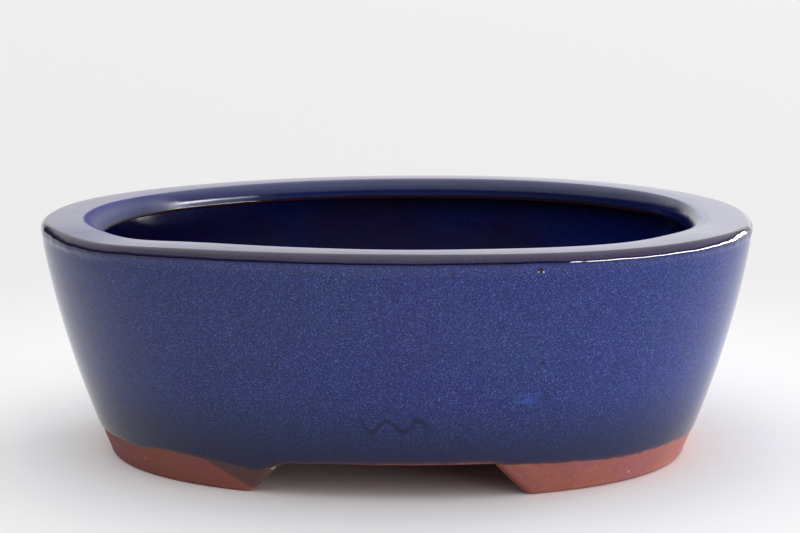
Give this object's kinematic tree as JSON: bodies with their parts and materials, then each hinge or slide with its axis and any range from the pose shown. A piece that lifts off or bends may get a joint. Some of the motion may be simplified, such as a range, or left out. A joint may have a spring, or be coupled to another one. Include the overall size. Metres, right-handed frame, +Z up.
{
  "type": "bonsai pot",
  "caption": "Shallow oval bonsai pot: tapering glazed wall, broad inturned lip, bare clay feet under each end, screened drainage holes.",
  "frame": {"origin": "on the ground under the middle of the pot", "axes": "+X along the pot's length, +Y across it to the back, +Z up"},
  "size_m": [0.1498, 0.1238, 0.0494],
  "materials": {
    "bare_clay": "unglazed red-brown stoneware, matt and slightly gritty",
    "foot_clay": "unglazed red-brown stoneware, wiped smooth",
    "cobalt_glaze": "glossy cobalt blue glaze with fine speckle, thinner and darker towards the foot",
    "rim_glaze": "glossy navy glaze breaking to dark brown on the outer edge",
    "inner_glaze": "glossy deep navy glaze",
    "mesh_plastic": "moulded black plastic mesh",
    "clip_wire": "drawn aluminium wire"
  },
  "bodies": {
    "root": {"floor_slab": "bare_clay", "body_wall": "bare_clay", "rim_lip": "bare_clay", "foot_left": "foot_clay", "foot_right": "foot_clay", "outer_glaze": "cobalt_glaze", "rim_glaze": "rim_glaze", "inner_glaze": "inner_glaze", "drainage_screen_left": "mesh_plastic", "drainage_screen_right": "mesh_plastic", "screen_clip_left": "clip_wire", "screen_clip_right": "clip_wire"}
  },
  "joints": []
}
